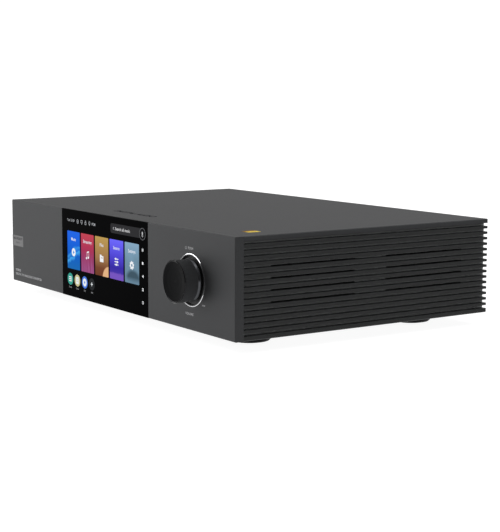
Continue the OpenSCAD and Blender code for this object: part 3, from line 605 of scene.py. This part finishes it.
def panel(width, height, radius=0.0, x=0.0, y=0.0, steps=6):
    """A rectangle with round corners, centred on x and y."""
    if not radius:
        radius, steps = NO_RADIUS, 1
    corners = ((1, 1, 0), (-1, 1, 90), (-1, -1, 180), (1, -1, 270))
    loop = []
    for sx, sy, start in corners:
        cx, cy = x + sx * (width / 2 - radius), y + sy * (height / 2 - radius)
        for i in range(steps + 1):
            turn = math.radians(start + 90 * i / steps)
            loop.append((cx + radius * math.cos(turn), cy + radius * math.sin(turn)))
    return loop


def gear(teeth, outer, inner):
    loop = []
    for i in range(teeth * 4):
        turn = 2 * math.pi * (i + 0.5) / (teeth * 4)
        radius = outer if i % 4 < 2 else inner
        loop.append((radius * math.cos(turn), radius * math.sin(turn)))
    return loop


def piece(name, parts, material, body="case"):
    """One object from several meshes, each given with its matrix, riding on a body."""
    joined = bmesh.new()
    for mesh, matrix in parts:
        mesh.transform(matrix)
        joined.from_mesh(mesh)
        bpy.data.meshes.remove(mesh)
    made = bpy.data.meshes.new(name)
    joined.to_mesh(made)
    joined.free()
    thing = bpy.data.objects.new(name, made)
    bpy.context.scene.collection.objects.link(thing)
    made.materials.append(material)
    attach(thing, body)
    return thing


# ---------- the display ----------

TILE_W, TILE_H, TILE_Z = 23.8, 33.4, 24.9
TILE_LEFT, TILE_PITCH = -76.3, 26.25
TITLE_Z, SYMBOL_Z = 51.3, 39.9     # heights of a tile's title and of its symbol
STATUS_SCALE, STATUS_PITCH = 1.15, 7.35
VOICE_X, VOICE_Z = 58.4, 67.2      # middle of the voice button
SIDE_X = 58.5                      # middle of the column of small symbols
APP_Z, APP_NAME_Z = 15.5, 8.2      # heights of the round buttons and of their names
LAYER = 0.05 * MM          # a lit layer above the glass, and the step between two layers
WHITE = srgb(240, 242, 245)
BLUE = [(0.0, (24, 104, 178)), (0.35, (18, 96, 196)), (0.6, (20, 96, 214)), (1.0, (34, 102, 232))]
RED = [(0.0, (132, 54, 108)), (0.35, (148, 50, 92)), (0.65, (176, 54, 86)), (1.0, (195, 68, 84))]
OCHRE = [(0.0, (112, 62, 40)), (0.2, (118, 70, 46)), (0.45, (158, 117, 76)), (1.0, (187, 153, 84))]
VIOLET = [(0.0, (84, 62, 168)), (0.3, (56, 44, 164)), (0.6, (82, 72, 214)), (1.0, (109, 104, 252))]
SLATE = [(0.0, (104, 135, 158)), (0.3, (112, 144, 166)), (0.7, (122, 156, 180)), (1.0, (134, 168, 194))]
TILES = [
    ("Music", "blue", BLUE, waves_over),
    ("Streaming", "red", RED, streaks_over),
    ("Files", "ochre", OCHRE, corner_over),
    ("Source", "violet", VIOLET, band_over),
    ("Settings", "slate", SLATE, hill_over),
]


def play_icon():
    return [shape([disc(3.6), [(-1.1, -1.7), (1.9, 0), (-1.1, 1.7)]])]


def note_icon():
    """Two joined notes: oval heads on stems under a slanting beam."""
    oval = [(1.25 * x, 0.95 * y) for x, y in disc(1.0, sides=24)]
    heads = [shape([moved(oval, x, y)]) for x, y in ((-1.7, -2.7), (1.7, -1.9))]
    frame_loop = [(-1.0, -2.7), (-0.5, -2.7), (-0.5, 1.9), (2.4, 2.7), (2.4, -1.9), (2.9, -1.9), (2.9, 3.9),
                  (-1.0, 2.9)]
    return heads + [shape([frame_loop])]


def folder_icon():
    body = [(-3.2, -3.0), (3.2, -3.0), (3.2, 2.2), (0.4, 2.2), (-0.6, 3.2), (-3.2, 3.2)]
    return [shape([body, panel(3.6, 0.6, 0, 0.6, 0.6)])]


def bars_icon():
    rows = []
    for y, knob in ((2.4, -1.2), (0, 1.4), (-2.4, -0.4)):
        rows.append(shape([panel(6.6, 0.8, 0.3, 0, y)]))
        rows.append(shape([disc(1.05, knob, y, 24)]))
    return rows


def gear_icon():
    return [shape([gear(8, 3.7, 2.9), disc(1.3)])]


def side_icons():
    """Five small white symbols down the right edge: pause, square, back, tiles and repeat."""
    pause = [shape([panel(0.8, 2.4, 0.2, x, 0)]) for x in (-0.7, 0.7)]
    stop = [shape([panel(2.2, 2.2, 0.4)])]
    back = [shape([[(1.2, -1.3), (1.2, 1.3), (-1.2, 0)]])]
    tiles = [shape([panel(1.0, 1.0, 0.2, x, y)]) for x in (-0.7, 0.7) for y in (-0.7, 0.7)]
    again = [shape([disc(1.3, sides=32), disc(0.8, sides=32)])]
    return [pause, stop, back, tiles, again]


def status_icons():
    """Four small outline symbols: a dial, a monitor, a padlock and a pin."""
    dial = [shape([disc(1.6, sides=32), disc(1.25, sides=32)]), shape([disc(0.5, sides=20)])]
    monitor = [shape([panel(3.0, 2.1, 0.3, 0, 0.4), panel(2.3, 1.4, 0.1, 0, 0.4)]),
               shape([panel(1.6, 0.4, 0, 0, -1.3)])]
    lock = [shape([panel(2.5, 1.9, 0.3, 0, -0.5), panel(1.7, 1.1, 0.1, 0, -0.5)]),
            shape([panel(1.7, 1.6, 0.7, 0, 0.9), panel(1.0, 1.0, 0.4, 0, 0.8)])]
    pin = [shape([disc(1.25, 0, 0.4, 28), disc(0.8, 0, 0.4, 28)]),
           shape([[(-0.5, -0.9), (0.5, -0.9), (0, -1.8)]])]
    icons = [dial, monitor, lock, pin]
    for mesh in sum(icons, []):
        mesh.transform(Matrix.Diagonal((STATUS_SCALE, STATUS_SCALE, 1, 1)))
    return icons


def make_tiles():
    icons = (play_icon, note_icon, folder_icon, bars_icon, gear_icon)
    titles, symbols = [], []
    for i, (title, tint, stops, over) in enumerate(TILES):
        left = TILE_LEFT + i * TILE_PITCH
        middle = left + TILE_W / 2
        art = tile_material("screen_tile_" + tint, stops, over, CASE_X + left * MM, CASE_Z + TILE_Z * MM,
                            TILE_W * MM, TILE_H * MM)
        tile = shape([panel(TILE_W, TILE_H, 0.7)])
        piece("screen_tile_" + tint, [(tile, on_front(middle, TILE_Z + TILE_H / 2, LAYER))], art)
        titles.append((words(title, 2.75, weight=0.05), on_front(middle, TITLE_Z, 2 * LAYER)))
        symbols += [(m, on_front(middle, SYMBOL_Z, 2 * LAYER)) for m in icons[i]()]
    piece("screen_titles", titles, glowing("screen_title_white", srgb(226, 230, 240)))
    piece("screen_symbols", symbols, glowing("screen_symbol_white", WHITE))


def make_status_row():
    grey = glowing("screen_status_grey", srgb(176, 178, 182))
    parts = [(words("Tue 12:30", 2.2, spacing=1.08, weight=0.03, align="LEFT"), on_front(-76.2, 67.9, LAYER))]
    for i, icon in enumerate(status_icons()):
        parts += [(m, on_front(-55.9 + STATUS_PITCH * i, 67.8, LAYER)) for m in icon]
    parts.append((words("PCM", 2.3, weight=0.04, align="LEFT"), on_front(-29.6, 67.6, LAYER)))
    piece("screen_status", parts, grey)


def make_search_bar():
    bar = shape([panel(54.5, 8.1, 2.2)])
    piece("screen_search_bar", [(bar, on_front(31.6, 67.65, LAYER))],
          glowing("screen_bar_grey", srgb(47, 47, 49)))
    lens = shape([disc(0.85, sides=28), disc(0.6, sides=28)])
    handle = shape([[(0.55, -0.85), (0.8, -0.6), (1.5, -1.3), (1.25, -1.55)]])
    hint = words("Search all music", 2.55, spacing=1.06, weight=0.06, align="LEFT")
    parts = [(hint, on_front(12.6, 67.5, 2 * LAYER))]
    parts += [(m, on_front(9.4, 67.8, 2 * LAYER)) for m in (lens, handle)]
    piece("screen_search_words", parts, glowing("screen_search_white", srgb(214, 214, 216)))
    button = shape([disc(4.8, sides=64)])
    piece("screen_voice_button", [(button, on_front(VOICE_X, VOICE_Z, 1.5 * LAYER))],
          glowing("screen_button_dark", srgb(20, 20, 22)))
    rim = shape([disc(4.9, sides=64), disc(4.6, sides=64)])
    piece("screen_voice_rim", [(rim, on_front(VOICE_X, VOICE_Z, 2 * LAYER))],
          glowing("screen_rim_grey", srgb(126, 127, 131)))
    capsule = shape([panel(1.7, 2.7, 0.8, 0, 0.6)])
    cradle = shape([panel(2.7, 0.5, 0.2, 0, -1.4)])
    stem = shape([panel(0.5, 1.1, 0, 0, -2.1)])
    parts = [(m, on_front(VOICE_X, VOICE_Z, 2 * LAYER)) for m in (capsule, cradle, stem)]
    piece("screen_voice_symbol", parts, glowing("screen_voice_white", srgb(196, 197, 200)))


def make_side_column():
    heights = (54.3, 43.5, 32.9, 22.0, 11.35)
    parts = []
    for z, icon in zip(heights, side_icons()):
        parts += [(m, on_front(SIDE_X, z, LAYER)) for m in icon]
    piece("screen_side_symbols", parts, glowing("screen_side_white", WHITE))


def make_apps():
    """Four round buttons under the tiles, each with its own symbol and a small name."""
    middles = (-71.5, -57.9, -43.9, -30.6)
    tints = {"teal": (60, 158, 142), "cream": (198, 190, 142), "sky": (78, 124, 222), "plain": (38, 40, 42)}
    names = ("Radio", "Notes", "Disc", "Add")
    discs = [shape([disc(5.3)]) for _ in middles]
    for x, part, (tint, color) in zip(middles, discs, tints.items()):
        piece("screen_app_" + tint, [(part, on_front(x, APP_Z, LAYER))],
              glowing("screen_app_" + tint, srgb(*color)))
    radio = [shape([panel(5.2, 1.0, 0.3, 0, y)]) for y in (1.7, 0, -1.7)]
    notes = [shape([panel(5.0, 6.2, 0.8), panel(2.8, 0.6, 0, 0, 1.2), panel(2.8, 0.6, 0, 0, -0.6)])]
    record = [shape([disc(3.5), disc(1.1)])]
    plus = [shape([panel(3.4, 0.8)]), shape([panel(0.8, 3.4)])]
    symbols, labels = [], []
    for x, icon, name in zip(middles, (radio, notes, record, plus), names):
        symbols += [(m, on_front(x, APP_Z, 2 * LAYER)) for m in icon]
        labels.append((words(name, 1.5), on_front(x, APP_NAME_Z, LAYER)))
    piece("screen_app_symbols", symbols, glowing("screen_app_white", srgb(232, 238, 240)))
    piece("screen_app_names", labels, glowing("screen_name_grey", srgb(150, 150, 152)))


# ---------- printing and labels on the case ----------

ROCKER_TILT = math.radians(8)                 # how far the rocker lies to its off side at rest
ROCKER_SLOPE = math.atan2(1.1, 5.0)           # slope of its cap on either side of the hinge
ROCKER_MARK = (6.4 * MM, 4.86 * MM)           # a mark's place, sideways and outward from the hinge
XLR_LO, XLR_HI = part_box("xlr_outputs")
XLR_Z = (XLR_LO.z + XLR_HI.z) / 2 / MM
FOIL_SIDE, FOIL_X, FOIL_Y = 11.0, 168.6, 31.0


def power_symbol(radius=1.05, width=0.28):
    """A broken ring with an upright bar in the gap."""
    gap, steps = math.radians(38), 30
    turns = [math.pi / 2 + gap + (2 * math.pi - 2 * gap) * i / steps for i in range(steps + 1)]
    outer = [((radius + width / 2) * math.cos(t), (radius + width / 2) * math.sin(t)) for t in turns]
    inner = [((radius - width / 2) * math.cos(t), (radius - width / 2) * math.sin(t)) for t in turns]
    return [shape([outer + inner[::-1]]), shape([panel(width, 1.2, 0, 0, 0.75)])]


def make_front_print():
    parts = [
        (words("STEREO", 2.1, spacing=1.1, weight=0.06, align="LEFT"), on_front(-187.3, 10.7, INK)),
        (words("DIGITAL TO ANALOGUE CONVERTER", 2.1, spacing=1.12, weight=0.05, align="LEFT"),
         on_front(-187.3, 7.0, INK)),
        (words("PUSH", 2.0, spacing=1.15, weight=0.04, align="LEFT"), on_front(128.6, 63.1, INK)),
        (words("VOLUME", 1.85, spacing=1.15, weight=0.04), on_front(130.5, 12.4, INK)),
        (words("MIN", 1.25, spacing=1.1, weight=0.02), on_front(113.8, 21.4, INK)),
        (words("MAX", 1.3, spacing=1.1, weight=0.03), on_front(150.8, 21.4, INK)),
    ]
    parts += [(m, on_front(125.6, 63.1, INK)) for m in power_symbol()]
    piece("front_print", parts, printed("front_ink", srgb(168, 168, 170)))


def make_badge_print():
    """Two lines of plain lettering on the small plate at the left of the front."""
    low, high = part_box("badge_plate")
    x, z = ((low.x + high.x) / 2 - CASE_X) / MM, ((low.z + high.z) / 2 - CASE_Z) / MM
    parts = [(words("HIGH FIDELITY", 2.1, spacing=1.0, weight=0.08), on_front(x, z + 2.1, INK)),
             (words("AUDIO", 1.5, spacing=1.3), on_front(x, z - 1.6, INK))]
    piece("badge_print", parts, printed("badge_ink", srgb(52, 52, 55), 0.6, 0.1))


def make_rocker_marks():
    """The bar and ring of the mains switch, on the two slopes of its cap."""
    hinge = [joint for joint in frame["record"]["behaviour"]["joints"] if joint["name"] == "rocker_tilt"][0]
    axis = Matrix.Translation(Vector(hinge["pos_m"])) @ Matrix.Rotation(-ROCKER_TILT, 4, "Z")
    parts = []
    for side, mark in ((-1, shape([panel(0.6, 3.4)])), (1, shape([disc(1.8), disc(1.25)]))):
        slope = Matrix.Rotation(side * ROCKER_SLOPE, 4, "Z")
        seat = Matrix.Translation((side * ROCKER_MARK[0], ROCKER_MARK[1], 0))
        parts.append((mark, axis @ seat @ slope @ REAR_FACE))
    piece("rocker_marks", parts, printed("rocker_ink", srgb(205, 205, 205)), body="rocker")


def make_top_lettering():
    lettering = words("DIGITAL AUDIO", 6.6, spacing=1.0, weight=0.16)
    piece("top_lettering", [(lettering, on_top(-2.5, 27.0, INK))],
          printed("top_ink", srgb(40, 40, 42), 0.8, 0.0))


def make_foil_label():
    """A square foil label with a border, a ring and three bars."""
    thickness = 0.06 * MM
    base = shape([panel(FOIL_SIDE, FOIL_SIDE, 1.0)], thickness)
    left, right = (CASE_X + (FOIL_X + half) * MM for half in (-FOIL_SIDE / 2, FOIL_SIDE / 2))
    gold = foil("gold_foil", left, right)
    piece("foil_label", [(base, on_top(FOIL_X, FOIL_Y, thickness / 2))], gold)
    outer, inner = FOIL_SIDE - 0.6, FOIL_SIDE - 1.3
    border = shape([panel(outer, outer, 0.8), panel(inner, inner, 0.6)])
    ring = shape([disc(3.5), disc(3.0)])
    bars = [shape([panel(0.6, h, 0.2, i * 1.2, 0)]) for i, h in zip((-1, 0, 1), (1.8, 3.2, 1.8))]
    parts = [(m, on_top(FOIL_X, FOIL_Y, thickness + INK / 2)) for m in (border, ring, *bars)]
    piece("foil_embossing", parts, printed("foil_shadow", (0.35, 0.2, 0.03), 0.35))


REAR_NAMES = [
    ("BALANCED OUT", 149.5, 27.4), ("L", 134, 67.6), ("R", 165, 67.6),
    ("LINE OUT", 110.5, 46.0), ("L", 110.5, 71.0), ("R", 110.5, 21.0),
    ("BALANCED IN", 71.5, 27.4), ("L", 56, 67.6), ("R", 87, 67.6),
    ("LINE IN", 32, 46.0), ("L", 32, 71.0), ("R", 32, 21.0),
    ("COAXIAL", -11, 41.0), ("IN", -19, 20.5), ("OUT", -3, 20.5),
    ("TRIGGER", -6, 64.0), ("OPTICAL", -36, 66.5), ("IN", -43, 48.6), ("OUT", -29, 48.6),
    ("VIDEO", -72, 62.0), ("USB IN", -38, 38.0), ("USB", -58, 41.0), ("NETWORK", -80, 39.0),
    ("MAINS", -152, 14.4),
]


def make_rear_print():
    parts = [(words(text, 1.9, spacing=1.1, weight=0.02), on_rear(x, z, INK)) for text, x, z in REAR_NAMES]
    width, height, line = 60, 34, 0.5
    for x in (149.5, 71.5):
        outline = shape([panel(width, height, 2.0), panel(width - line, height - line, 1.8)])
        parts.append((outline, on_rear(x, XLR_Z, INK)))
    piece("rear_print", parts, printed("rear_ink", srgb(190, 190, 192)))


# ---------- materials of the CAD pieces ----------


def slot_materials():
    """A material for every slot of the record."""
    knob = (KNOB_X, 0, KNOB_Z)
    return {
        "case_front": blasted("case_front", (0.0432, 0.0439, 0.0456)),
        # The top and the finned sides are the front's anodising with darker colours: painted shade on the top
        # and the sides.
        "case_top": blasted("case_top", (0.0405, 0.0413, 0.0432)),
        "case_side": finned("case_side", (0.0305, 0.0312, 0.0314)),
        "display_glass": dark_glass("display_glass"),
        "display_tray": moulded("display_tray", (0.02, 0.02, 0.024)),
        "badge": brushed("badge", (0.141, 0.141, 0.143), 0.45),
        "black_sheet": powder_coat("black_sheet", (0.03, 0.031, 0.033)),
        "foot_shell": blasted("foot_shell", (0.004, 0.004, 0.0043), roughness=0.55),
        "foot_rubber": moulded("foot_rubber", (0.012, 0.012, 0.012), 0.8, 900, 0.00003, 0.2),
        "zinc_steel": brushed("zinc_steel", (0.55, 0.56, 0.58), 0.3, (1, 1, 1)),
        "black_screw": brushed("black_screw", (0.04, 0.04, 0.043), 0.35, (1, 1, 1)),
        "inner_steel": brushed("inner_steel", (0.48, 0.49, 0.5), 0.4, (10, 1, 1)),
        "polished_ring": cut_ring("polished_ring", knob, RING_HI.x - KNOB_X - RING_BRIGHT),
        "knob_metal": spun_knob("knob_metal", knob),
        "black_plastic": moulded("black_plastic", (0.012, 0.012, 0.013), 0.5),
        "gloss_black": moulded("gloss_black", (0.01, 0.01, 0.011), 0.18, 900, 0.000004, 0.5),
        "white_plastic": moulded("white_plastic", (0.72, 0.72, 0.69), 0.45),
        "ribbon_film": moulded("ribbon_film", (0.55, 0.33, 0.05), 0.25, 700, 0.000006, 0.5),
        "circuit_board": circuit_laminate("circuit_board", (0.015, 0.10, 0.045)),
        "chip_black": moulded("chip_black", (0.016, 0.016, 0.017), 0.55, 2400),
        "black_heatsink": blasted("black_heatsink", (0.02, 0.02, 0.022), roughness=0.4),
        "capacitor_sleeve": moulded("capacitor_sleeve", (0.025, 0.03, 0.1), 0.25, 600, 0.000006, 0.5),
        "winding_copper": brushed("winding_copper", (0.5, 0.17, 0.05), 0.35, (1, 1, 14), 0.7),
        "brass_plain": turned("brass_plain", (0.62, 0.46, 0.2), (0, 0, 0), 0.3, axis="Z"),
        "nickel_contact": polished("nickel_contact", (0.64, 0.63, 0.6), 0.18),
        "socket_metal": powder_coat("socket_metal", (0.022, 0.022, 0.024), 0.4),
        "gold_contact": polished("gold_contact", (0.86, 0.62, 0.24), 0.14),
    }


# Width in millimetres of the rounding on each of these pieces
BEVELLED = {
    "top_cover": 0.12, "side_panel_left": 0.12, "side_panel_right": 0.12, "rear_panel": 0.12,
    "badge_plate": 0.1, "cover_glass": 0.08, "inlet_module": 0.25, "fuse_drawer": 0.2,
    "power_rocker": 0.3, "xlr_latch_left": 0.2, "xlr_latch_right": 0.2,
}


def soften(thing, width):
    """A small rounding of the sharp edges, so that they catch light."""
    edge = thing.modifiers.new("edge", "BEVEL")
    edge.width = width * MM
    edge.segments = 2
    edge.limit_method = "ANGLE"
    edge.angle_limit = math.radians(40)
    edge.harden_normals = True


def dress_cad_pieces():
    materials = slot_materials()
    for entry in frame["record"]["subparts"]:
        node = NODES[entry["node"]]
        node.data.materials.clear()
        node.data.materials.append(materials[entry["material_slot"]])
    for name, width in BEVELLED.items():
        soften(NODES[name], width)


make_camera()
make_world()
make_floor()
area_light("key", (-1.5, -1.3, 0.9), (1.4, 1.4), 22)
area_light("top", (0.4, 0.5, 1.7), (1.8, 1.8), 14)
dress_cad_pieces()
make_tiles()
make_status_row()
make_search_bar()
make_side_column()
make_apps()
make_front_print()
make_badge_print()
make_rocker_marks()
make_top_lettering()
make_foil_label()
make_rear_print()
